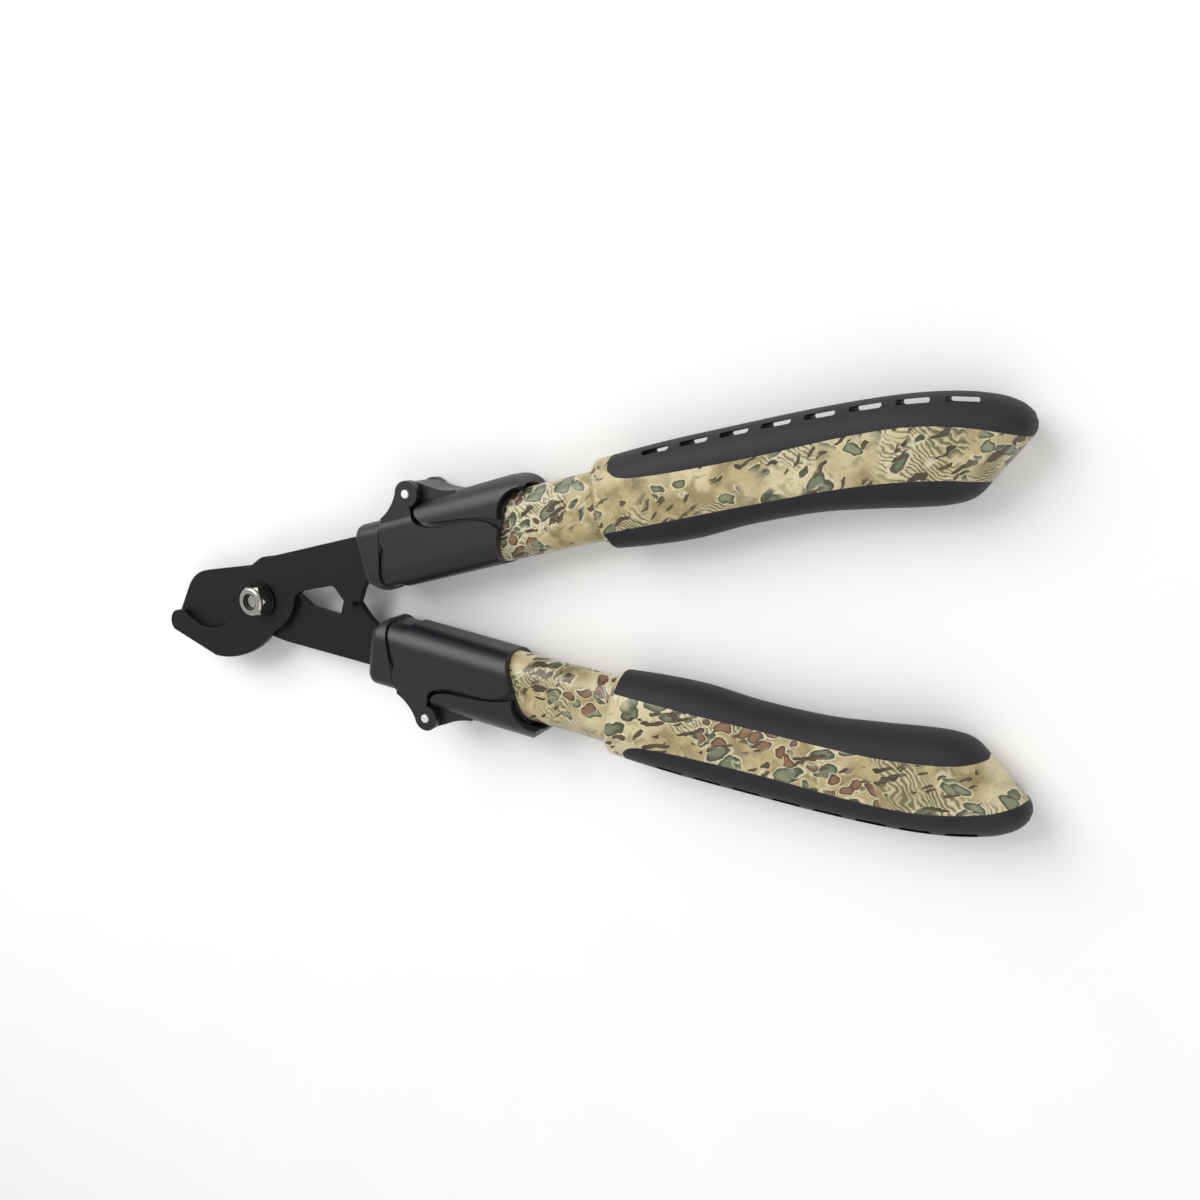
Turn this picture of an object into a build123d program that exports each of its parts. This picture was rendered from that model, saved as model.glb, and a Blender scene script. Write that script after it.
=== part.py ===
from build123d import *
import math
import os

# Compact telescoping bypass cutters with two identical, clamp-locked handles.
# Everything is drawn with the pivot at the origin, jaws towards -X, and the jaw plates' shared plane at Z 0.
# Handle pieces are drawn along their own handle: +X runs to the butt, +Y points away from the other handle.
# Each finished piece is then swung to its handle and moved, so that the whole tool lies flat on Z 0 with its
# footprint centred in X and Y.

# driving dimensions, in millimetres and degrees
HANDLE_ANGLE = 10.8  # each handle's angle to the tool's axis with the jaws closed
HALF_THICK = 13.0  # half thickness of grips and collars, which the tool lies on
GRIP_ROUND = 8.0  # rounding of a grip's long edges
SHIFT = (-140.0, 0.0, HALF_THICK)  # from the pivot to the middle of the tool's footprint

PLATE_T = 3.3  # jaw plate
PLATE_GAP = 0.05  # each plate's clearance from the shared plane
FACE_Z = PLATE_GAP + PLATE_T
RUN_FIT = 0.05  # radial clearance of sliding and turning fits

STOP_GAP, STOP_TALL, STOP_ENDS = 0.1, 1.7, (50.6, 54.4)  # feet that widen the lugs' tips where they meet
LUG = {
    1: ((60.8, 5.9), (58.2, STOP_GAP), (49.6, STOP_GAP)),
    -1: ((60.2, -7.4), (55.0, -STOP_GAP), (46.8, -STOP_GAP)),
}  # stop lugs: root, then the flat tip

BOLT_R, BUSH_R = 4.0, 5.5
WASHER_R, WASHER_T = 8.6, 1.3
HEX_R, NUT_HEX_H, NUT_COLLAR_H, HEAD_H = 7.5, 4.6, 1.9, 5.0
BOLT_SUNK = 1.7  # the bolt's end is this far under the nut's face

HANDLE_LINE = 7.2  # tube centre line's distance from the pivot
OUTER_TUBE, OUTER_WALL = (28.0, 18.0), 1.5  # flat-sided oval tubes: height, width
INNER_TUBE, INNER_WALL = (23.6, 13.6), 1.5
INNER_START, INNER_END = 72.5, 202.0
OUTER_START, OUTER_END = 112.0, 208.0
TANG_END = 100.0
RIVETS = ((79.0, 7.2), (92.0, 7.2))
RIVET_R = 2.4

FERRULE_START, FERRULE_ROUND = 70.3, 4.4
COLLAR_BOTTOM, COLLAR_TOP, COLLAR_TAPER = -8.4, 23.4, 1.4
SEAM = ((77.0, -9.0), (82.2, 8.0), (86.6, 24.0))  # ferrule's slanting end; the collar is SEAM_GAP further on
SEAM_GAP = 0.4
PALM_ROUND, BACK_ROUND = 9.5, 6.0  # rounding of the clamp's long edges, by the palm and by the lever
FACET, FACET_DEPTH = ((84.4, 11.0), (88.2, -12.0), (70.0, -12.0)), 1.2  # sunk corner of the collar
GROOVE, GROOVE_DEPTH = ((84.0, 12.0), (84.7, 12.0), (88.9, -12.0), (88.2, -12.0)), 2.1  # line beside it

PIN = (103.0, 30.2)  # lever hinge
PIN_R, PIN_HEAD_R = 1.5, 1.9
EAR_R, EAR_LOW, EAR_HIGH = 5.6, 8.0, 11.9
CAM_R, CAM_OFFSET = 5.3, 0.35
SHOE = (96.0, 110.0)  # clamp shoe's ends
SHOE_TOP = PIN[1] - CAM_R - CAM_OFFSET - RUN_FIT
SADDLE_HALF, SADDLE_TOP, SADDLE_R = 10.1, 22.6, 8.5  # collar's core under the lever
LEVER_GAP, LEVER_TOP, LEVER_ROUND, LEVER_HUB_END = 0.3, 27.7, 10.5, 124.0

GRIP_START = 187.6
SLOT_COUNT, SLOT_PITCH, SLOT_START = 8, 15.9, 208.6
SLOT_SIZE, SLOT_DEPTH = (11.2, 1.8), 2.8  # depth is the slots' centre line below the grip's outer edge

UP = (0, 0, 1)


def on_handle(s, t, side=1):
    """Tool-plane position of a point given along and across a handle; side -1 is the blade's handle."""
    a = math.radians(HANDLE_ANGLE)
    return (s * math.cos(a) - t * math.sin(a), side * (s * math.sin(a) + t * math.cos(a)))


def slab(edges, low, high):
    """Plate from Z low to Z high inside a closed outline."""
    return extrude(Plane.XY.offset(low) * make_face(edges), high - low, dir=UP)


def plate(points, low, high):
    """Plate from Z low to Z high inside straight lines between the points."""
    return extrude(Plane.XY.offset(low) * Polygon(*points, align=None), high - low, dir=UP)


def disc(radius, low, high, at=(0, 0)):
    """Round bar parallel to the pivot."""
    return extrude(Plane.XY.offset(low) * Pos(*at) * Circle(radius), high - low)


def oval(size, start, end, grow=0.0):
    """Flat-sided oval bar along the handle; grow is added all round."""
    section = Plane((start, HANDLE_LINE, 0), x_dir=(0, 1, 0), z_dir=(1, 0, 0))
    return extrude(section * SlotOverall(size[0] + 2 * grow, size[1] + 2 * grow), end - start)


def block(corner, far):
    """Box between two opposite corners."""
    size = [b - a for a, b in zip(corner, far)]
    middle = [(a + b) / 2 for a, b in zip(corner, far)]
    return Pos(*middle) * Box(*size)


def both_faces(shape):
    return shape + mirror(shape, Plane.XY)


def round_near(body, points, radius):
    """Round the upright edges of a plate nearest to the given points."""
    for x, y in points:
        edge = body.edges().filter_by(Axis.Z).sort_by_distance((x, y, body.bounding_box().center().Z))[0]
        body = fillet(edge, radius)
    return body


# jaws
def tang_points(side):
    """A jaw's tang from its outer shoulder, round its buried end and its stop lug, to its inner edge."""
    return [
        on_handle(13.0, 18.6, side),
        on_handle(72.3, 18.1, side),
        on_handle(72.3, 15.4, side),
        on_handle(TANG_END, 15.4, side),
        on_handle(TANG_END, -1.0, side),
        on_handle(65.4, -1.0, side),
        *LUG[side],
        on_handle(44.6, -1.0, side),
    ]


def stop_foot(side):
    """Widened edge of the stop lug, so that the two jaws' lugs meet although the plates lie side by side."""
    low, high = sorted((STOP_GAP * side, STOP_TALL * side))
    return block((STOP_ENDS[0], low, -FACE_Z), (STOP_ENDS[1], high, FACE_Z))


def hook_jaw():
    """Counter-blade, whose curved front holds the work."""
    tang = tang_points(1)
    body = slab(
        [
            Polyline(*tang, (25.0, 4.4), (20.4, 2.0)),
            ThreePointArc((20.4, 2.0), (15.6, -8.6), (4.8, -15.4)),
            ThreePointArc((4.8, -15.4), (-14.6, -27.6), (-34.0, -29.0)),
            Line((-34.0, -29.0), (-60.2, -16.8)),
            ThreePointArc((-60.2, -16.8), (-61.8, -12.2), (-58.4, -7.2)),
            Line((-58.4, -7.2), (-52.4, -6.6)),
            ThreePointArc((-52.4, -6.6), (-33.6, -15.4), (-12.6, 4.6)),
            Line((-12.6, 4.6), (-10.6, 10.6)),
            ThreePointArc((-10.6, 10.6), (-8.2, 14.4), (-4.4, 16.0)),
            Line((-4.4, 16.0), (2.8, 20.3)),
            Line((2.8, 20.3), tang[0]),
        ],
        PLATE_GAP,
        FACE_Z,
    )
    body = round_near(body, [(20.4, 2.0), (-4.4, 16.0), on_handle(44.6, -1.0)], 3.0)
    body = round_near(body, [(2.8, 20.3), LUG[1][0]], 8.0)
    top = body.faces().filter_by(Axis.Z).sort_by(Axis.Z)[-1]
    body = chamfer(top.outer_wire().edges(), 0.35)
    return body + stop_foot(1) - disc(BUSH_R, -1, 6)


def blade_jaw():
    """Cutting blade: flat side against the hook, bevel on the far side."""
    tang = tang_points(-1)
    tip, low_point, heel = (-59.2, -10.2), (-34.0, -19.2), (-9.5, -15.4)
    body = slab(
        [
            Polyline(*tang, (26.6, -3.4), (20.0, 2.2)),
            ThreePointArc((20.0, 2.2), (11.6, 13.6), (-6.0, 15.8)),
            Line((-6.0, 15.8), (-38.2, 12.8)),
            ThreePointArc((-38.2, 12.8), (-45.0, 10.0), (-49.6, 5.2)),
            Line((-49.6, 5.2), tip),
            ThreePointArc(tip, low_point, heel),
            ThreePointArc(heel, (-1.0, -17.0), on_handle(6.0, 18.0, -1)),
            Line(on_handle(6.0, 18.0, -1), tang[0]),
        ],
        -FACE_Z,
        -PLATE_GAP,
    )
    arc = ThreePointArc(tip, low_point, heel)
    centre, radius = arc.arc_center, arc.radius
    land, bevel = 0.6, 8.0
    cone = Pos(centre.X, centre.Y, -FACE_Z) * Cone(
        radius - bevel, radius, PLATE_T - land, align=(Align.CENTER, Align.CENTER, Align.MIN)
    )
    sweep = [(centre.X, centre.Y), (-110, -12), (-110, -80), (-9, -80), heel]
    reach = plate(sweep, -FACE_Z, -PLATE_GAP - land)
    body -= reach - cone
    return body + stop_foot(-1) - disc(BUSH_R + RUN_FIT, -6, 1)


# pivot hardware
def hexagon(low, high):
    """Hexagon across corners 2 x HEX_R, with its corners turned off."""
    turned = disc(HEX_R, low, high)
    turned = chamfer(turned.edges().filter_by(GeomType.CIRCLE), 0.6)
    return extrude(Plane.XY.offset(low) * RegularPolygon(HEX_R, 6), high - low) & turned


def pivot_bolt():
    under = -FACE_Z - WASHER_T
    end = FACE_Z + WASHER_T + NUT_HEX_H + NUT_COLLAR_H - BOLT_SUNK
    shank = disc(BOLT_R, under, end)
    return chamfer(shank.edges().sort_by(Axis.Z)[-1], 0.6) + hexagon(under - HEAD_H, under)


def pivot_nut():
    """Locknut: hexagon, with the rolled collar that holds its nylon ring."""
    base = FACE_Z + WASHER_T
    collar = disc(HEX_R - 0.8, base + NUT_HEX_H, base + NUT_HEX_H + NUT_COLLAR_H)
    collar = fillet(collar.edges().sort_by(Axis.Z)[-1], 1.2)
    return hexagon(base, base + NUT_HEX_H) + collar - disc(BOLT_R, 0, 30)


def washer(low):
    ring = disc(WASHER_R, low, low + WASHER_T)
    return chamfer(ring.edges().filter_by(GeomType.CIRCLE), 0.2) - disc(BOLT_R, low - 1, low + 3)


def pivot_bush():
    """Sleeve that the jaws are bored to, gripped between the washers."""
    return disc(BUSH_R, -FACE_Z, FACE_Z) - disc(BOLT_R, -FACE_Z - 1, FACE_Z + 1)


# pieces fixed to a jaw, drawn along the handle
def rivet_holes():
    first, second = (disc(RIVET_R, -30, 30, at) for at in RIVETS)
    return first + second


def jaw_packing():
    """Filler on both sides of the tang, which centres it in the inner tube."""
    inside = oval(INNER_TUBE, 74.0, TANG_END - 1, grow=-INNER_WALL)
    below = inside & block((60, -20, -20), (120, 40, 0))
    above = inside & block((60, -20, FACE_Z), (120, 40, 20))
    return below + above - rivet_holes()


def rivet_set():
    """Flush rivets through tube, packing and tang."""
    half = INNER_TUBE[1] / 2
    return Compound(children=[disc(RIVET_R, -half, half, at) for at in RIVETS])


def inner_tube():
    body = oval(INNER_TUBE, INNER_START, INNER_END) - oval(INNER_TUBE, 0, 300, grow=-INNER_WALL)
    return body - rivet_holes()


def rear_bush():
    """Nylon cap on the inner tube, which runs in the outer tube's bore."""
    cap = oval(OUTER_TUBE, INNER_END - 12, INNER_END + 2, grow=-OUTER_WALL - RUN_FIT)
    return cap - oval(INNER_TUBE, INNER_END - 20, INNER_END)


def seam_side(before, gap=0.0):
    """Everything on one side of the ferrule's slanting end."""
    points = [(x + gap, y) for x, y in SEAM]
    far = 40.0 if before else 260.0
    return slab(
        [
            ThreePointArc(*points),
            Polyline(points[2], (points[2][0], 60), (far, 60), (far, -40), (points[0][0], -40), points[0]),
        ],
        -30,
        30,
    )


def clamp_bar(top, sunk=0.0):
    """Bar with the clamp's rounded section; sunk shrinks it all round."""
    half = HALF_THICK - sunk
    body = block((40, COLLAR_BOTTOM + sunk, -half), (200, top - sunk, half))
    body = fillet(body.edges().filter_by(Axis.X).group_by(Axis.Y)[0], PALM_ROUND - sunk)
    return fillet(body.edges().filter_by(Axis.X).group_by(Axis.Y)[-1], BACK_ROUND - sunk)


def ferrule():
    """Plastic nose that the jaw's tang enters."""
    corners = [(FERRULE_START, 22.4), (FERRULE_START, -2.6), (75.6, COLLAR_BOTTOM)]
    side = Polygon(*corners, (110, COLLAR_BOTTOM), (110, 22.4), align=None)
    for x, y in corners:
        side = fillet(side.vertices().sort_by_distance((x, y, 0))[0], 4.6)
    body = extrude(Plane.XY.offset(-HALF_THICK) * side, 2 * HALF_THICK, dir=UP) & clamp_bar(22.4)
    front = body.faces().filter_by(Axis.X).sort_by(Axis.X)[0]
    body = fillet(front.edges(), FERRULE_ROUND)
    body &= seam_side(True)
    return body - block((60, -1.6, 0), (72.5, 18.7, FACE_Z + 0.05)) - oval(INNER_TUBE, INNER_START, 100)


# pieces of the sliding handle, drawn along the handle
def pocket():
    """Where the lever lies in the collar, seen from the side."""
    rim = Spline((107.5, 28.5), (103.1, 23.5), (103.5, 19.0), (108.4, 15.1), (118.0, 13.2), (143.9, 6.9))
    beyond = Polyline((143.9, 6.9), (170.0, 0.0), (170.0, 40.0), (107.5, 40.0), (107.5, 28.5))
    return slab([rim, beyond], -30, 30)


def saddle(grow=0.0):
    """Rounded bar that the lever straddles."""
    half, top, radius = SADDLE_HALF + grow, SADDLE_TOP + grow, SADDLE_R + grow
    body = block((60, -30, -half), (200, top, half))
    return fillet(body.edges().filter_by(Axis.X).group_by(Axis.Y)[-1], radius)


def collar():
    """Clamp body fixed on the outer tube, with the lever's pocket and ears."""
    bottom = [(70, COLLAR_BOTTOM), (84, COLLAR_BOTTOM), (160, COLLAR_BOTTOM + COLLAR_TAPER)]
    body = plate([*bottom, (160, COLLAR_TOP), (70, COLLAR_TOP)], -HALF_THICK, HALF_THICK)
    palm = body.faces().filter_by(lambda f: f.center().Y < 0 and f.normal_at().Y < -0.9)
    long_edges = palm.edges().filter_by(lambda e: abs(abs(e.center().Z) - HALF_THICK) < 0.01)
    body = fillet(long_edges, PALM_ROUND)
    body = fillet(body.edges().filter_by(Axis.X).group_by(Axis.Y)[-1], BACK_ROUND)
    body &= seam_side(False, SEAM_GAP)
    end = ThreePointArc((138.4, -7.0), (142.9, 5.0), (150.6, 20.4))
    body &= slab([end, Polyline(end @ 1, (153.0, 40), (60, 40), (60, -20), (138.4, -20), end @ 0)], -30, 30)
    for outline, depth in ((FACET, FACET_DEPTH), (GROOVE, GROOVE_DEPTH)):
        body -= plate(outline, -30, 30) - clamp_bar(COLLAR_TOP, depth)
    body -= pocket() - saddle()
    back = ThreePointArc((86.9, 22.8), (93.6, 26.8), (98.7, 33.8))
    arm = slab([back, Polyline(back @ 1, PIN, (103.0, 20.0), (86.9, 20.0), back @ 0)], EAR_LOW, EAR_HIGH)
    ear = disc(EAR_R, EAR_LOW, EAR_HIGH, PIN) + arm
    ear -= disc(PIN_R, 0, 30, PIN)
    body += both_faces(ear)
    body -= oval(INNER_TUBE, 60, 160, grow=RUN_FIT) + oval(OUTER_TUBE, OUTER_START, 200)
    return body - block((SHOE[0] - 0.1, 10, -6.1), (SHOE[1] + 0.1, 40, 6.1))


def clamp_shoe():
    """Pad that the cam presses on the inner tube."""
    return block((SHOE[0], 12.0, -6.0), (SHOE[1], SHOE_TOP, 6.0)) - oval(INNER_TUBE, 60, 160, grow=RUN_FIT)


def lever_section():
    """Bar that rounds the lever's back, with a narrow strip on it for the hub between the ears."""
    half, hub_half = HALF_THICK - 0.3, EAR_LOW - LEVER_GAP
    back = block((60, -30, -half), (200, LEVER_TOP, half))
    back = fillet(back.edges().filter_by(Axis.X).group_by(Axis.Y)[-1], LEVER_ROUND)
    return back + block((60, 0, -hub_half), (LEVER_HUB_END, 60, hub_half))


def cam_lever():
    """Saddle-shaped lever, eccentric at its hinge."""
    body = slab(
        [
            Polyline((103.0, 35.1), (106.2, 34.5), (112.0, 31.4)),
            ThreePointArc((112.0, 31.4), (121.0, 27.6), (131.0, 27.0)),
            Line((131.0, 27.0), (151.2, LEVER_TOP)),
            ThreePointArc((151.2, LEVER_TOP), (155.4, 25.6), (157.0, 21.8)),
            ThreePointArc((157.0, 21.8), (148.8, 19.4), (144.6, 11.0)),
            Spline(
                (144.6, 11.0), (131.9, 14.4), (113.0, 16.2), (106.6, 18.4), (104.5, 23.0),
                tangents=((-0.9, 0.4), (0, 1)),
            ),
            Line((104.5, 23.0), (103.0, 35.1)),
        ],
        -30,
        30,
    )
    body &= lever_section()
    body -= saddle(LEVER_GAP)
    body -= both_faces(disc(EAR_R + LEVER_GAP, EAR_LOW - LEVER_GAP, 30, PIN))
    body -= block((90, 0, -6.5), (SHOE[1] + 0.5, SHOE_TOP + 0.4, 6.5))
    body += disc(CAM_R, -EAR_LOW + LEVER_GAP, EAR_LOW - LEVER_GAP, (PIN[0], PIN[1] - CAM_OFFSET))
    return body - disc(PIN_R + RUN_FIT, -30, 30, PIN)


def lever_pin():
    head = disc(PIN_HEAD_R, EAR_HIGH, EAR_HIGH + 1.0, PIN)
    head = fillet(head.edges().sort_by(Axis.Z)[-1], 0.6)
    return disc(PIN_R, -EAR_HIGH, EAR_HIGH, PIN) + both_faces(head)


def outer_tube():
    return oval(OUTER_TUBE, OUTER_START, OUTER_END) - oval(OUTER_TUBE, 0, 300, grow=-OUTER_WALL)


def grip_back():
    """The grip's outer edge: a long flat arc, then a tighter one that falls towards the butt."""
    back = ThreePointArc((GRIP_START, 25.3), (246.0, 24.9), (300.0, 22.2))
    return back, TangentArc(back @ 1, (337.0, 14.1), tangent=back % 1)


def grip_body():
    """The whole grip, before it is divided into shell and pads."""
    back, heel = grip_back()
    front_high, front_low = back @ 0, (GRIP_START, -10.8)
    corner = TangentArc(heel @ 1, (346.9, -1.7), tangent=heel % 1)
    toe = ThreePointArc((332.0, -13.4), (323.4, -18.9), (311.0, -18.6))
    palm = TangentArc(toe @ 1, (262.0, -12.2), tangent=toe % 1)
    body = slab(
        [back, heel, corner, Line(corner @ 1, toe @ 0), toe, palm,
         ThreePointArc(palm @ 1, (224.0, -13.2), front_low), Line(front_low, front_high)],
        -HALF_THICK,
        HALF_THICK,
    )
    rim = body.edges().filter_by(lambda e: abs(abs(e.center().Z) - HALF_THICK) < 0.01 and e.center().X > 190)
    body = fillet(rim, GRIP_ROUND)
    front = body.faces().sort_by(Axis.X)[0]
    body = fillet(front.edges(), 2.0)
    return body - oval(OUTER_TUBE, 100, OUTER_END)


def outer_region():
    """Where the outer pad is, seen from the side."""
    start, end = (196.4, 19.4), (346.0, -3.6)
    seam = Spline(start, (204.3, 14.8), (226.3, 12.6), (286.3, 11.0), (319.1, 7.1), end)
    return slab([seam, Polyline(end, (380, end[1]), (380, 60), (start[0], 60), start)], -30, 30)


def inner_region():
    """Where the inner pad is, seen from the side."""
    start, end = (189.8, -3.4), (333.6, -15.4)
    seam = Spline(start, (246.0, -4.2), (289.8, -5.8), (315.9, -9.6), end)
    return slab([seam, Polyline(end, (end[0], -60), (start[0], -60), start)], -30, 30)


def slot_cutter(number):
    """One through slot; the slots follow the grip's outer edge at an even pitch."""
    along = SLOT_START + (number + 0.5) * SLOT_PITCH
    back, heel = grip_back()
    edge, part = (back, (along - GRIP_START) / (back @ 1 - back @ 0).X)
    if part > 1:
        edge, part = heel, (along - (back @ 1).X) / (heel @ 1 - heel @ 0).X
    slope = edge % part
    middle = edge @ part + SLOT_DEPTH * Vector(slope.Y, -slope.X)
    turn = math.degrees(math.atan2(slope.Y, slope.X))
    place = Plane.XY.offset(-30) * Pos(middle.X, middle.Y) * Rot(0, 0, turn)
    return extrude(place * SlotOverall(*SLOT_SIZE), 60)


def outer_pad():
    body = grip_body() & outer_region()
    for number in range(SLOT_COUNT):
        body -= slot_cutter(number)
    return body


def inner_pad():
    return grip_body() & inner_region()


def grip_shell():
    return grip_body() - outer_region() - inner_region()


# placing and writing
def put_on_handle(shape, side):
    """Swing a piece drawn along the handle to the hook's handle (1) or the blade's (-1)."""
    shape = Rot(0, 0, HANDLE_ANGLE) * shape
    return shape if side > 0 else Rot(180, 0, 0) * shape


def write(name, shape):
    shape = Pos(*SHIFT) * shape
    shape.label = name
    export_step(shape, "parts/" + name + ".step")


os.makedirs("parts", exist_ok=True)
write("hook_jaw", hook_jaw())
write("blade_jaw", blade_jaw())
write("pivot_bolt", pivot_bolt())
write("pivot_nut", pivot_nut())
write("front_washer", washer(FACE_Z))
write("back_washer", washer(-FACE_Z - WASHER_T))
write("pivot_bush", pivot_bush())
for make in (
    jaw_packing, rivet_set, inner_tube, rear_bush, ferrule,
    collar, clamp_shoe, cam_lever, lever_pin, outer_tube, grip_shell, outer_pad, inner_pad,
):
    piece = make()
    for word, side in (("upper", 1), ("lower", -1)):
        write(word + "_" + make.__name__, put_on_handle(piece, side))
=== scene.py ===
import math

import bmesh
import bpy
from mathutils import Matrix, Vector, geometry


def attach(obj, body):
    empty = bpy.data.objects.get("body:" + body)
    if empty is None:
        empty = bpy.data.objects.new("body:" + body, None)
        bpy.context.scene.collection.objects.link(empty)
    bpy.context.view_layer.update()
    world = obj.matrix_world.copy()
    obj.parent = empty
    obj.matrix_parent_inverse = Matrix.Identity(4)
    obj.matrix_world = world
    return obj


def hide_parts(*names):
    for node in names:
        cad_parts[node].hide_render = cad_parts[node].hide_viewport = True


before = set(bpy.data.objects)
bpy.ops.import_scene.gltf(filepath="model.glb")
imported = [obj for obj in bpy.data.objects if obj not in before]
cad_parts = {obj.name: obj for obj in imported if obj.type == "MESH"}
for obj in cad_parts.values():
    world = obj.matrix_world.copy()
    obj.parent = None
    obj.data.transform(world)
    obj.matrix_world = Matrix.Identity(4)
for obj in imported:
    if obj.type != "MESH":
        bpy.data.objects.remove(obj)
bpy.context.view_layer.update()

# Studio: the cutters lie on a wide pale board under two large soft lamps, with the brighter one on the left.
# The camera stands over the jaws' end and looks down along the handles.
PIVOT = Vector((-0.140, 0.0, 0.013))  # the pivot bolt's centre, on the plane between the two jaws
CAMERA_FROM_PIVOT = Vector((0.36608, 0.07817, 0.37745))
CAMERA_LOOK, CAMERA_UP = (-0.43915, -0.17408, -0.88139), (-0.02557, 0.98307, -0.18142)
SENSOR, LENS = 36.0, 31.8  # in mm
AIR_BRIGHTNESS = 0.55
BOARD_HALF = 6.0  # half the board's width, in metres


def linear(colour):
    """An sRGB hex colour as linear red, green, blue and alpha."""
    parts = [int(colour[i:i + 2], 16) / 255 for i in (1, 3, 5)]
    return tuple(p / 12.92 if p <= 0.04045 else ((p + 0.055) / 1.055) ** 2.4 for p in parts) + (1.0,)


def add_node(material, kind, links=None, **settings):
    """A node with its settings; links gives each input a value or another node's output."""
    new = material.node_tree.nodes.new("ShaderNode" + kind)
    for name, value in settings.items():
        setattr(new, name, value)
    for socket, value in (links or {}).items():
        if isinstance(value, bpy.types.NodeSocket):
            material.node_tree.links.new(value, new.inputs[socket])
        else:
            new.inputs[socket].default_value = value
    return new


def new_material(name, **shader_values):
    """A material with its shader's fixed values; returns the material and its shader."""
    material = bpy.data.materials.new(name)
    material.use_nodes = True
    shader = material.node_tree.nodes["Principled BSDF"]
    for socket, value in shader_values.items():
        shader.inputs[socket.replace("_", " ")].default_value = value
    return material, shader


def millimetres(material):
    """Object coordinates in millimetres."""
    place = add_node(material, "TexCoord")
    scaled = add_node(material, "VectorMath", {
        0: place.outputs["Object"], "Scale": 1000.0,
    }, operation="SCALE")
    return scaled.outputs[0]


def aim(thing, direction, up):
    """Turn a camera or lamp to look along a direction."""
    back = -Vector(direction).normalized()
    side = Vector(up).cross(back).normalized()
    turn = Matrix((side, back.cross(side), back)).transposed()
    thing.matrix_world = Matrix.Translation(thing.location) @ turn.to_4x4()


camera_data = bpy.data.cameras.new("camera")
camera_data.sensor_width = SENSOR
camera_data.lens = LENS
camera_data.clip_start = 0.01
camera = bpy.data.objects.new("camera", camera_data)
bpy.context.scene.collection.objects.link(camera)
camera.location = PIVOT + CAMERA_FROM_PIVOT
aim(camera, CAMERA_LOOK, CAMERA_UP)
bpy.context.scene.camera = camera

for name, place, size, power in (
    ("key_lamp", (-0.55, 0.75, 0.95), 1.0, 12.5),
    ("fill_lamp", (0.75, -0.70, 0.90), 1.3, 4.5),
):
    lamp_data = bpy.data.lights.new(name, "AREA")
    lamp_data.size = size
    lamp_data.energy = power
    lamp = bpy.data.objects.new(name, lamp_data)
    bpy.context.scene.collection.objects.link(lamp)
    lamp.location = place
    aim(lamp, -Vector(place), (0, 0, 1))

world = bpy.data.worlds.new("studio_air")
bpy.context.scene.world = world
world.use_nodes = True
air = world.node_tree.nodes["Background"]
air.inputs["Color"].default_value = (1.0, 1.0, 1.0, 1.0)
air.inputs["Strength"].default_value = AIR_BRIGHTNESS
bpy.context.scene.view_settings.view_transform = "Standard"

board_mesh = bpy.data.meshes.new("board")
board_form = bmesh.new()
bmesh.ops.create_grid(board_form, x_segments=1, y_segments=1, size=BOARD_HALF)
board_form.to_mesh(board_mesh)
board_form.free()
board = bpy.data.objects.new("board", board_mesh)
bpy.context.scene.collection.objects.link(board)
painted_board, shader = new_material("painted_board", Roughness=0.85)
grain = add_node(painted_board, "TexNoise", {"Vector": millimetres(painted_board), "Scale": 0.02})
shades = {0: grain.outputs["Fac"], 6: linear("#F8F8F7"), 7: linear("#FBFBFB")}
tint = add_node(painted_board, "Mix", shades, data_type="RGBA")
painted_board.node_tree.links.new(tint.outputs[2], shader.inputs["Base Color"])
board_mesh.materials.append(painted_board)


# Jaws: blanked from 3.3 mm tool steel, the hook lightly chamfered round its face and the blade ground to a
# bevel on the far side, then hardened and given a matt black bake-on coating with a fine even tooth.
def finish_node(name, material):
    """Give a CAD piece its finish."""
    for material_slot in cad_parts[name].material_slots:
        material_slot.material = material


def worked_surface(name, colours, cloud, gloss, grain, relief=0.0, **fixed):
    """A finish whose colour drifts in clouds, and whose gloss and relief follow a finer grain, in mm."""
    material, shader = new_material(name, **fixed)
    place = millimetres(material)
    drift = add_node(material, "TexNoise", {"Vector": place, "Scale": 1 / cloud, "Detail": 3.0})
    fine = add_node(material, "TexNoise", {"Vector": place, "Scale": 1 / grain, "Detail": 3.0}).outputs["Fac"]
    dark, light = (linear(colour) for colour in colours)
    tint = add_node(material, "Mix", {0: drift.outputs["Fac"], 6: dark, 7: light}, data_type="RGBA")
    shine = add_node(material, "MapRange", {"Value": fine, "To Min": gloss[0], "To Max": gloss[1]})
    material.node_tree.links.new(tint.outputs[2], shader.inputs["Base Color"])
    material.node_tree.links.new(shine.outputs[0], shader.inputs["Roughness"])
    if relief:
        bump = add_node(material, "Bump", {"Height": fine, "Strength": 0.25, "Distance": relief / 1000})
        material.node_tree.links.new(bump.outputs[0], shader.inputs["Normal"])
    return material


baked_coating = worked_surface(
    "baked_black_coating_on_steel", ("#0B0B0C", "#111112"), cloud=17.0, gloss=(0.42, 0.62), grain=0.45,
    relief=0.04, IOR=1.5, Specular_IOR_Level=0.3,
)
for name in ("hook_jaw", "blade_jaw"):
    finish_node(name, baked_coating)


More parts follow.
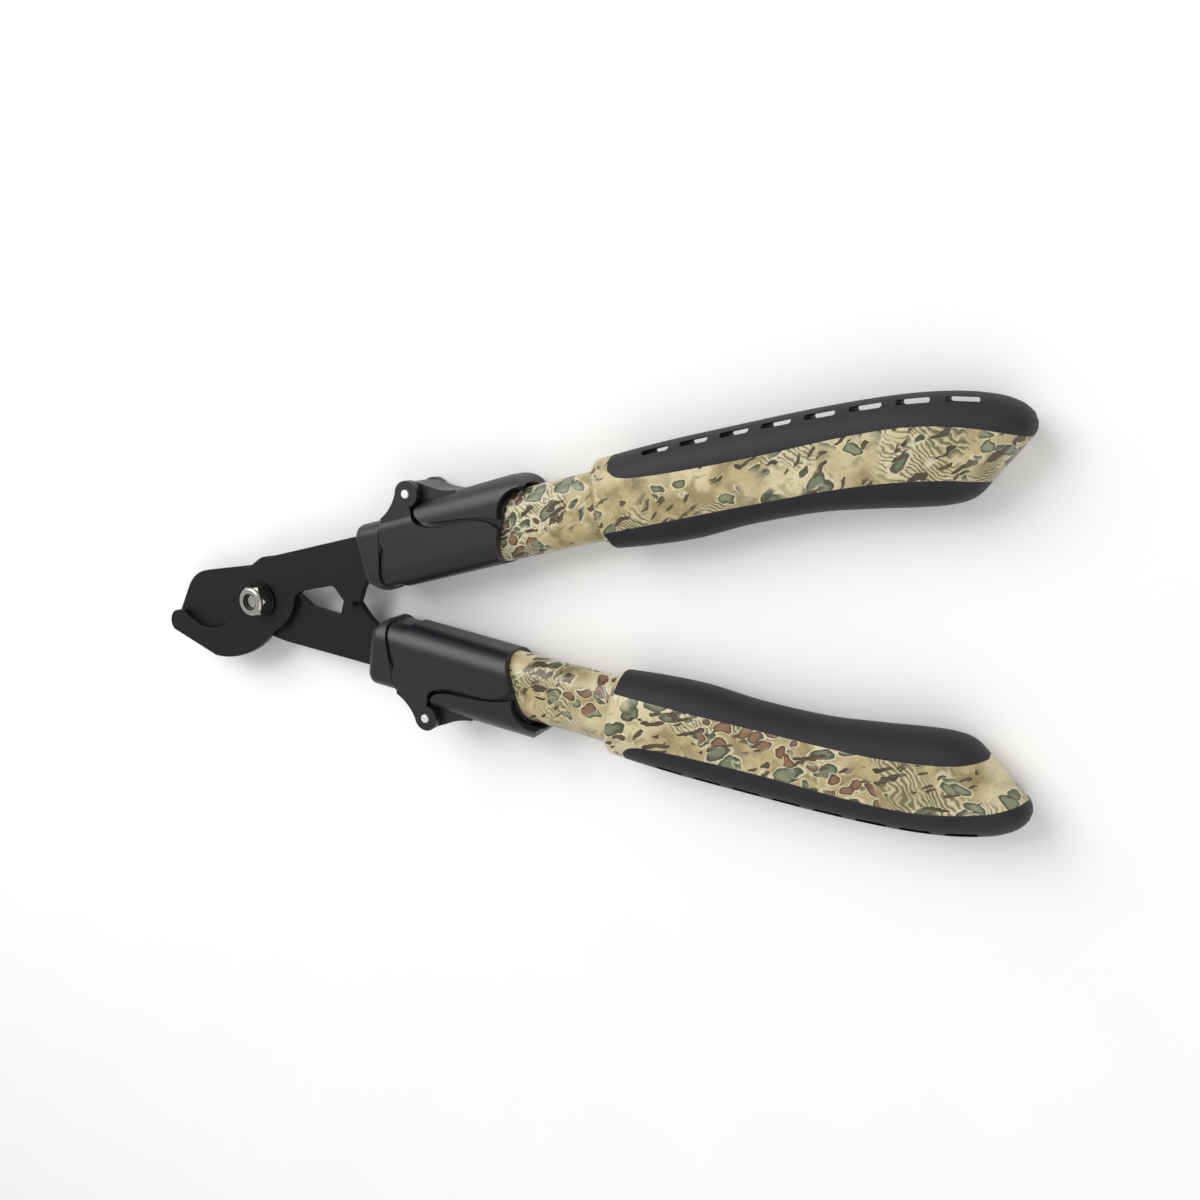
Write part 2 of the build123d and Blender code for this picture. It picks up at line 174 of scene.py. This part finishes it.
# Pivot hardware: an M8 bolt and locknut of bright zinc-plated steel, done up just tight enough for the jaws
# to turn on a steel bush. The bush and the rivets are plated alike. The washers are black zinc, so that only
# the nut shines.
bright_zinc = worked_surface(
    "bright_zinc_plate", ("#A9A6A0", "#D6D3CC"), cloud=1.25, gloss=(0.12, 0.3), grain=1.25, Metallic=1.0,
)
black_zinc = worked_surface(
    "black_zinc_plate", ("#1E1D1D", "#3A3938"), cloud=2.0, gloss=(0.18, 0.36), grain=2.0, Metallic=1.0,
)
for name in ("pivot_bolt", "pivot_nut", "pivot_bush", "upper_rivet_set", "lower_rivet_set"):
    finish_node(name, bright_zinc)
for name in ("front_washer", "back_washer"):
    finish_node(name, black_zinc)


# Nut ring: a dark polyamide ring pressed into the nut's rolled lip, which bites on the bolt's thread. It is a
# small turned ring round the bolt, a little under the nut's face, and satin from the cutting tool.
SHARP_ANGLE = math.radians(35)
RING_HEIGHT, RING_RADIUS, RING_BAR = 10.0, 3.45, 0.5  # in mm; the height is above the pivot's centre


def finished(form, name):
    """The object of a finished form, smooth except at its sharp edges."""
    mesh = bpy.data.meshes.new(name)
    for face in form.faces:
        face.smooth = True
    form.to_mesh(mesh)
    form.free()
    mesh.set_sharp_from_angle(angle=SHARP_ANGLE)
    piece = bpy.data.objects.new(name, mesh)
    bpy.context.scene.collection.objects.link(piece)
    return piece


polyamide = worked_surface(
    "turned_dark_polyamide", ("#101012", "#1A1A1D"), cloud=0.25, gloss=(0.35, 0.55), grain=0.25, IOR=1.53,
)
form = bmesh.new()
section = bmesh.ops.create_circle(form, segments=16, radius=RING_BAR)["verts"]
bmesh.ops.rotate(form, cent=(0, 0, 0), matrix=Matrix.Rotation(math.pi / 2, 3, "X"), verts=section)
bmesh.ops.translate(form, vec=(RING_RADIUS, 0, 0), verts=section)
bmesh.ops.spin(
    form, geom=form.verts[:] + form.edges[:], cent=(0, 0, 0), axis=(0, 0, 1), steps=64, angle=2 * math.pi,
    use_merge=True,
)
for vertex in form.verts:
    vertex.co = PIVOT + (vertex.co + Vector((0, 0, RING_HEIGHT))) / 1000
bmesh.ops.recalc_face_normals(form, faces=form.faces)
nut_ring = finished(form, "nut_ring")
nut_ring.data.materials.append(polyamide)
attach(nut_ring, "hook_side")


# Lever pins: turned steel rivets, headed over the ears and nickel plated, then tumbled, so that under a soft
# light the heads look almost white.
nickel = worked_surface(
    "tumbled_nickel_plate", ("#EDEBE6", "#FAF9F6"), cloud=0.8, gloss=(0.45, 0.6), grain=0.8, Metallic=1.0,
)
for side in ("upper", "lower"):
    finish_node(side + "_lever_pin", nickel)


# Ferrules, clamp collars, cam levers and the nylon pieces inside them: injection-moulded black glass-filled
# nylon, spark-eroded to a fine satin grain, so it has a soft broad highlight. The ferrule stays on the inner
# tube; the collar slides away from it.
satin_nylon = worked_surface(
    "moulded_satin_nylon", ("#141419", "#1B1B21"), cloud=20.0, gloss=(0.33, 0.46), grain=0.4,
    relief=0.03, IOR=1.53,
)
for side in ("upper", "lower"):
    for name in ("ferrule", "collar", "cam_lever", "clamp_shoe", "rear_bush", "jaw_packing"):
        finish_node(side + "_" + name, satin_nylon)


# Inner tubes: oval steel tube, drawn lengthwise and black oxide finished with a trace of oil, so that the
# light runs along it in fine lines. The lines are a little coarser than real ones, to show.
HANDLE_ANGLE = math.radians(10.8)  # between each handle and the tool's middle line
HANDLE_TURN = {"upper": HANDLE_ANGLE, "lower": -HANDLE_ANGLE}
DRAW_LINE = (50.0, 0.7, 0.7)  # length and thickness of a drawing line, in mm
for side, turn in HANDLE_TURN.items():
    black_oxide, shader = new_material(side + "_black_oxide_drawn_tube", Metallic=0.7)
    along = add_node(black_oxide, "Mapping", {
        "Vector": millimetres(black_oxide), "Rotation": (0.0, 0.0, turn), "Scale": DRAW_LINE,
    }, vector_type="TEXTURE")
    lines = add_node(black_oxide, "TexNoise", {"Vector": along.outputs[0], "Scale": 1.0, "Detail": 3.0})
    shades = {0: lines.outputs["Fac"], 6: linear("#1C1C1E"), 7: linear("#333336")}
    tint = add_node(black_oxide, "Mix", shades, data_type="RGBA")
    sheen = add_node(black_oxide, "MapRange", {"Value": lines.outputs["Fac"], "To Min": 0.25, "To Max": 0.45})
    black_oxide.node_tree.links.new(tint.outputs[2], shader.inputs["Base Color"])
    black_oxide.node_tree.links.new(sheen.outputs[0], shader.inputs["Roughness"])
    finish_node(side + "_inner_tube", black_oxide)


# Outer tubes and grip shells: aluminium tube and ABS moulding, both dipped in the same printed camouflage
# film and lacquered. The print is a dry-grass ground with sage leaf shapes, brown dashes, rust scales and
# fine contour lines.
PRINT_PLACE = {"upper": (0.0, 0.0, 0.0), "lower": (70.0, 240.0, 31.0)}  # each tube's place on it, in mm
SHELL_SHIFT = (130.0, -60.0, 9.0)  # from a tube's place on the print to its grip shell's, in mm
WAVER_SIZE, WAVER_PUSH = 10.0, 9.0  # the outlines waver about this often, by up to half this, in mm
CREAM = "#D6CCAB"


def camouflage(name, turn, shift):
    """The printed film; turn lays it along a handle, and shift picks a stretch of the print, in mm."""
    film, shader = new_material(name, IOR=1.5, Coat_Weight=0.3, Coat_Roughness=0.15)
    laid = add_node(film, "Mapping", {
        "Vector": millimetres(film), "Rotation": (0.0, 0.0, -turn), "Location": shift,
    })
    warp = add_node(film, "TexNoise", {"Vector": laid.outputs[0], "Scale": 1 / WAVER_SIZE, "Detail": 3.0})
    centred = add_node(film, "VectorMath", {
        0: warp.outputs["Color"], 1: (0.5, 0.5, 0.5),
    }, operation="SUBTRACT")
    pushed = add_node(film, "VectorMath", {0: centred.outputs[0], "Scale": WAVER_PUSH}, operation="SCALE")
    moved = add_node(film, "VectorMath", {0: laid.outputs[0], 1: pushed.outputs[0]}, operation="ADD")
    place = moved.outputs[0]

    def inked(under, ink, strength, *ranges):
        """The print with one more ink, where each value is in its range, from low (none) to high (full)."""
        cover = strength
        for value, low, high in ranges:
            inside = add_node(film, "MapRange", {
                "Value": value, "From Min": low, "From Max": high,
            }, interpolation_type="SMOOTHSTEP")
            cover = add_node(film, "Math", {0: cover, 1: inside.outputs[0]}, operation="MULTIPLY").outputs[0]
        return add_node(film, "Mix", {0: cover, 6: under, 7: linear(ink)}, data_type="RGBA").outputs[2]

    # each tint of the ground: its ink and strength, its clouds' size in mm and detail, and where in them it
    # starts and is full
    colour = linear("#93845A")
    for ink, strength, size, detail, low, high in (
        ("#B8A87A", 1.0, 11.0, 4.0, 0.38, 0.60),
        ("#D8CCA4", 0.75, 27.0, 2.0, 0.46, 0.60),
        ("#74673F", 0.55, 6.0, 6.0, 0.54, 0.66),
    ):
        clouds = add_node(film, "TexNoise", {"Vector": place, "Scale": 1 / size, "Detail": detail})
        colour = inked(colour, ink, strength, (clouds.outputs["Fac"], low, high))

    # fine wavy lines in patches, dark and pale by turns
    lines = add_node(film, "TexWave", {
        "Vector": place, "Scale": 0.27, "Distortion": 9.0, "Detail": 2.0, "Detail Scale": 0.22,
    }, bands_direction="DIAGONAL").outputs["Fac"]
    clouds = add_node(film, "TexNoise", {"Vector": place, "Scale": 1 / 32.0, "Detail": 2.0})
    patch = (clouds.outputs["Fac"], 0.50, 0.58)
    colour = inked(colour, "#535540", 0.8, (lines, 0.55, 0.8), patch)
    colour = inked(colour, "#CDC5A5", 0.6, (lines, 0.3, 0.1), patch)

    # each family of shapes: length and width in mm, slant, share kept, rim, body and strength of the cream
    # outline, and then the size in mm of the regions that it lies in, and where in them it starts and is full
    for length, width, slant, share, rim, body, outline, size, low, high in (
        (13.0, 6.5, 0.6, 0.55, "#41492F", "#747B60", 0.8, 38.0, 0.46, 0.51),
        (8.5, 4.4, -0.35, 0.42, "#4A5138", "#868B6C", 0.7, 21.0, 0.46, 0.52),
        (7.0, 5.0, 0.2, 0.75, "#56402B", "#8B6448", 0.8, 44.0, 0.58, 0.62),
        (13.0, 2.5, 0.3, 0.45, "#3A2F1D", "#4C3F29", 0.2, 30.0, 0.46, 0.51),
        (6.5, 1.8, 0.6, 0.34, "#43361F", "#56492F", 0.1, 15.0, 0.46, 0.52),
    ):
        scaled = add_node(film, "Mapping", {
            "Vector": place, "Rotation": (0.0, 0.0, slant), "Scale": (length, width, 3 * width),
        }, vector_type="TEXTURE")
        spots = add_node(film, "TexVoronoi", {"Vector": scaled.outputs[0], "Scale": 1.0, "Randomness": 0.8})
        chance = add_node(film, "SeparateColor", {"Color": spots.outputs["Color"]})
        clouds = add_node(film, "TexNoise", {"Vector": place, "Scale": 1 / size, "Detail": 2.0})
        here = ((chance.outputs["Red"], share, share - 0.01), (clouds.outputs["Fac"], low, high))
        distance = spots.outputs["Distance"]
        colour = inked(colour, CREAM, outline, (distance, 0.52, 0.45), *here)
        colour = inked(colour, rim, 1.0, (distance, 0.43, 0.39), *here)
        colour = inked(colour, body, 0.9, (distance, 0.36, 0.22), *here)

    specks = add_node(film, "TexNoise", {"Vector": place, "Scale": 1 / 0.9, "Detail": 3.0})
    colour = inked(colour, "#5F5236", 0.4, (specks.outputs["Fac"], 0.58, 0.70))
    lacquer = add_node(film, "TexNoise", {"Vector": place, "Scale": 1 / 3.0, "Detail": 2.0})
    gloss = add_node(film, "MapRange", {
        "Value": lacquer.outputs["Fac"], "From Min": 0.3, "From Max": 0.7, "To Min": 0.36, "To Max": 0.5,
    }, interpolation_type="SMOOTHSTEP")
    film.node_tree.links.new(colour, shader.inputs["Base Color"])
    film.node_tree.links.new(gloss.outputs[0], shader.inputs["Roughness"])
    return film


for side, turn in HANDLE_TURN.items():
    tube_place = PRINT_PLACE[side]
    shell_place = tuple(tube + shift for tube, shift in zip(tube_place, SHELL_SHIFT))
    finish_node(side + "_outer_tube", camouflage(side + "_transfer_print_on_tube", turn, tube_place))
    finish_node(side + "_grip_shell", camouflage(side + "_transfer_print_on_shell", turn, shell_place))


# Grips: each is an ABS shell in the camouflage film, slid over the tube and glued, with two charcoal
# thermoplastic rubber pads moulded into it. In section a grip is fully rounded at both edges; the pads stand
# a hair proud of the shell, and the outer one is pierced by eight slots that let it give under the fingers.
def on_handle(side, along, across, height=0.0):
    """A point given in mm along, across and above a handle's own lines, in the object's metres."""
    flip = 1 if side == "upper" else -1
    x = along * math.cos(HANDLE_ANGLE) - across * math.sin(HANDLE_ANGLE)
    y = along * math.sin(HANDLE_ANGLE) + across * math.cos(HANDLE_ANGLE)
    return PIVOT + Vector((x, flip * y, flip * height)) / 1000


def line_through(*points):
    """A smooth line through (along, across) points, as a function of the place along the handle."""
    def across(s):
        s = min(max(s, points[0][0]), points[-1][0])
        k = next(i for i in range(1, len(points)) if s <= points[i][0])
        slopes = []
        for j in (k - 1, k):
            before, after = points[max(j - 1, 0)], points[min(j + 1, len(points) - 1)]
            slopes.append((after[1] - before[1]) / (after[0] - before[0]))
        (s0, t0), (s1, t1) = points[k - 1], points[k]
        span = s1 - s0
        u = (s - s0) / span
        return (
            t0 * (1 + 2 * u) * (1 - u) ** 2 + slopes[0] * span * u * (1 - u) ** 2
            + t1 * u * u * (3 - 2 * u) + slopes[1] * span * u * u * (u - 1)
        )
    return across


GRIP_START, GRIP_END = 187.6, 347.9
back_edge = line_through(
    (GRIP_START, 25.2), (216, 25.6), (246, 24.9), (280, 23.6), (306, 21.4), (324, 18.2), (337, 13.9),
    (344, 9.6), (347.2, 5.4), (GRIP_END, 2.0),
)
palm_edge = line_through(
    (GRIP_START, -10.6), (206, -12.4), (224, -13.2), (245, -12.1), (272, -12.9), (292, -15.7), (307, -18.2),
    (317.5, -19.3), (325, -18.2), (333, -12.4), (344.6, -3.2), (347.2, -0.5), (GRIP_END, 2.0),
)
outer_seam = line_through(
    (196.4, 19.6), (199.5, 16.4), (206, 14.4), (226, 12.6), (257, 11.3), (286, 11.0), (306, 9.7), (319, 7.1),
    (331, 3.2), (GRIP_END, -4.2),
)
inner_seam = line_through((189.8, -3.4), (246, -4.2), (290, -5.8), (316, -9.6), (331.6, -14.4))
OUTER_PAD_START, INNER_PAD_START, INNER_PAD_END = 196.4, 189.8, 330.4
GRIP_HALF = 12.8  # half a grip shell's thickness, and the radius of its rounded edges
OUTLINE_STEP, TIP_STEP = 0.5, 0.3  # between the outline's points, and between the last two
OUTLINE_PLACES = [GRIP_START + i * OUTLINE_STEP for i in range(int((GRIP_END - GRIP_START) / OUTLINE_STEP))]
OUTLINE_PLACES += [GRIP_END - TIP_STEP, GRIP_END]
OUTLINE = [Vector((s, edge(s))) for edge in (back_edge, palm_edge) for s in OUTLINE_PLACES]


def grip_height(s, t):
    """Half the grip's thickness at a place in its side view, from how far inside its outline that is."""
    here = Vector((s, t))
    reach = GRIP_HALF
    for first, second in zip(OUTLINE, OUTLINE[1:]):
        one_edge = second.x > first.x  # false for the step back from the back edge's end to the palm edge
        if one_edge and abs(first.x - s) < GRIP_HALF:
            near, part = geometry.intersect_point_line(here, first, second)
            near = first if part < 0 else second if part > 1 else near
            reach = min(reach, (here - near.to_2d()).length)
    return math.sqrt(GRIP_HALF ** 2 - (GRIP_HALF - reach) ** 2)


ROWS = 26  # strips across a grip piece
FRONT_ROUND, FRONT_SUNK = 3.0, 2.4  # length and depth of the rounding at the shell's front
SHOULDER = 0.35  # how far a pad's wall starts under the pad's surface
FADE_HEIGHT = 6.0  # below this height a pad stands less and less proud, down to the middle plane
THINNEST = 0.01  # the least width of a piece, where its two lines meet
MIRROR_MERGE, POINT_MERGE, SLIVER = 0.002, 0.003, 0.001  # points closer than this become one


def grip_piece(name, side, stations, low, high, proud=0.0):
    """Both faces of a grip piece between two lines in side view, rounded off where a line is the grip's edge.
    A pad stands proud of the shell, with a small shoulder; the shell has a rounded front."""
    at_palm, at_back = low is palm_edge, high is back_edge
    form = bmesh.new()
    bmesh.ops.create_grid(form, x_segments=len(stations) - 1, y_segments=ROWS, size=0.5)
    for vertex in form.verts:
        column = round((vertex.co.x + 0.5) * (len(stations) - 1))
        row = round((vertex.co.y + 0.5) * ROWS)
        s = stations[column]
        share = (1 - math.cos(math.pi * row / ROWS)) / 2
        if at_palm:
            share = 1 - math.cos(math.pi / 2 * row / ROWS)
        elif at_back:
            share = math.sin(math.pi / 2 * row / ROWS)
        bottom = low(s)
        t = bottom + max(high(s) - bottom, THINNEST) * share
        z = grip_height(s, t)
        if proud:
            at_wall = (row == 0 and not at_palm) or (row == ROWS and not at_back) or column == 0
            z += -SHOULDER if at_wall else proud * min(z / FADE_HEIGHT, 1)
        else:
            ease = min((s - stations[0]) / FRONT_ROUND, 1.0)
            sunk = FRONT_SUNK * (1 - math.sqrt(1 - (1 - ease) ** 2))
            middle, half_height = (back_edge(s) + palm_edge(s)) / 2, (back_edge(s) - palm_edge(s)) / 2
            t += (middle - t) * sunk / half_height
            z *= 1 - sunk / GRIP_HALF
        on_rim = (row == 0 and at_palm) or (row == ROWS and at_back)
        vertex.co = (s, t, 0.0 if on_rim else max(z, 0.0))
    rim = [edge for edge in form.edges if edge.is_boundary]
    walls = bmesh.ops.extrude_edge_only(form, edges=rim)["geom"]
    for vertex in (item for item in walls if isinstance(item, bmesh.types.BMVert)):
        vertex.co.z = 0.0
    everything = form.verts[:] + form.edges[:] + form.faces[:]
    bmesh.ops.mirror(form, geom=everything, axis="Z", merge_dist=MIRROR_MERGE)
    bmesh.ops.remove_doubles(form, verts=form.verts, dist=POINT_MERGE)
    bmesh.ops.dissolve_degenerate(form, edges=form.edges, dist=SLIVER)
    bmesh.ops.holes_fill(form, edges=form.edges, sides=8)
    for vertex in form.verts:
        vertex.co = on_handle(side, *vertex.co)
    bmesh.ops.recalc_face_normals(form, faces=form.faces)
    return finished(form, name)


def stations_between(start, end, count):
    """Places along the handle, close together at both ends."""
    return [start + (end - start) * (1 - math.cos(math.pi * i / count)) / 2 for i in range(count + 1)]


SLOT_COUNT, SLOT_START, SLOT_PITCH = 8, 208.6, 15.9
SLOT_LENGTH, SLOT_WIDTH, SLOT_DEPTH = 11.2, 1.8, 2.8
SLOPE_REACH = 4.0  # the back edge's slope at a slot is taken this far to each side
CUTTER_HEIGHT = 40.0  # more than the grip's thickness


def slot_cutters(side):
    """Eight rounded bars that pierce the outer pad, each laid along the grip's back edge."""
    form = bmesh.new()
    for number in range(SLOT_COUNT):
        s = SLOT_START + (number + 0.5) * SLOT_PITCH
        slope = math.atan2(back_edge(s + SLOPE_REACH) - back_edge(s - SLOPE_REACH), 2 * SLOPE_REACH)
        bar = bmesh.ops.create_circle(form, cap_ends=True, segments=24, radius=SLOT_WIDTH / 2)["verts"]
        for vertex in bar:
            vertex.co.x += math.copysign((SLOT_LENGTH - SLOT_WIDTH) / 2, vertex.co.x)
        top = bmesh.ops.extrude_face_region(form, geom=[bar[0].link_faces[0]])["geom"]
        raised = [item for item in top if isinstance(item, bmesh.types.BMVert)]
        bmesh.ops.translate(form, vec=(0, 0, CUTTER_HEIGHT), verts=raised)
        bar += raised
        bmesh.ops.rotate(form, cent=(0, 0, 0), matrix=Matrix.Rotation(slope, 3, "Z"), verts=bar)
        along, across = s + SLOT_DEPTH * math.sin(slope), back_edge(s) - SLOT_DEPTH * math.cos(slope)
        bmesh.ops.translate(form, vec=(along, across, -CUTTER_HEIGHT / 2), verts=bar)
    bmesh.ops.holes_fill(form, edges=form.edges)
    for vertex in form.verts:
        vertex.co = on_handle(side, *vertex.co)
    bmesh.ops.recalc_face_normals(form, faces=form.faces)
    return finished(form, side + "_slot_cutters")


UNDERLAP, UNDERLAP_END = 0.8, 0.6  # how far the shell goes under a pad's seam, and past the inner pad


def under_pads(seam, edge, start, end, inwards):
    """A side line of the shell: the grip's edge, or, beside a pad, a line UNDERLAP inside the pad's seam."""
    def across(s):
        if s < start or s > end:
            return edge(s)
        lines = (seam(s) + inwards * UNDERLAP, edge(s))
        return min(lines) if inwards > 0 else max(lines)
    return across


def above_seam(s):
    """The outer pad's lower line, which the seam and then the grip's butt give."""
    return max(outer_seam(s), palm_edge(s))


PAD_PROUD = 0.2  # how far a pad stands above the shell
NUDGE = 0.001  # a step in the shell's outline is this long
SHELL_COLUMNS, OUTER_COLUMNS, INNER_COLUMNS = 150, 170, 120
SHELL_SHORT, PAD_SHORT = 0.05, 0.02  # how far before the grip's tip the last column stands
PAD_FRONT = 0.45  # the length of a pad's shoulder at its front
ROUND_COLUMNS = (0.7, 1.5)  # more columns in the rounding at the shell's front
shell_low = under_pads(inner_seam, palm_edge, INNER_PAD_START, INNER_PAD_END + UNDERLAP_END, -1)
shell_high = under_pads(outer_seam, back_edge, OUTER_PAD_START, GRIP_END, 1)
rubber = worked_surface(
    "moulded_charcoal_rubber", ("#1D1C20", "#262529"), cloud=20.0, gloss=(0.5, 0.68), grain=0.4,
    relief=0.04, IOR=1.5, Specular_IOR_Level=0.35,
)
shell_stations = sorted(
    stations_between(GRIP_START, GRIP_END - SHELL_SHORT, SHELL_COLUMNS)
    + [GRIP_START + s for s in ROUND_COLUMNS]
    + [OUTER_PAD_START - NUDGE, OUTER_PAD_START, INNER_PAD_START - NUDGE, INNER_PAD_START]
)
outer_stations = [OUTER_PAD_START]
outer_stations += stations_between(OUTER_PAD_START + PAD_FRONT, GRIP_END - PAD_SHORT, OUTER_COLUMNS)
inner_stations = [INNER_PAD_START]
inner_stations += stations_between(INNER_PAD_START + PAD_FRONT, INNER_PAD_END, INNER_COLUMNS)
for side in ("upper", "lower"):
    shell = grip_piece(side + "_camouflage_shell", side, shell_stations, shell_low, shell_high)
    outer_pad = grip_piece(side + "_slotted_pad", side, outer_stations, above_seam, back_edge, PAD_PROUD)
    inner_pad = grip_piece(side + "_palm_pad", side, inner_stations, palm_edge, inner_seam, PAD_PROUD)

    cutters = slot_cutters(side)
    pierce = outer_pad.modifiers.new("slots", "BOOLEAN")
    pierce.operation = "DIFFERENCE"
    pierce.solver = "EXACT"
    pierce.object = cutters
    pierced = bpy.data.meshes.new_from_object(outer_pad.evaluated_get(bpy.context.evaluated_depsgraph_get()))
    outer_pad.modifiers.clear()
    outer_pad.data = pierced
    pierced.set_sharp_from_angle(angle=SHARP_ANGLE)
    bpy.data.objects.remove(cutters)

    print_on_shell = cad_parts[side + "_grip_shell"].material_slots[0].material
    for piece, node, material, slot in (
        (shell, "_grip_shell", print_on_shell, "camo_shell"),
        (outer_pad, "_outer_pad", rubber, "grip_rubber"),
        (inner_pad, "_inner_pad", rubber, "grip_rubber"),
    ):
        piece.data.materials.clear()
        piece.data.materials.append(material)
        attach(piece, side + "_handle")
        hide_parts(side + node)
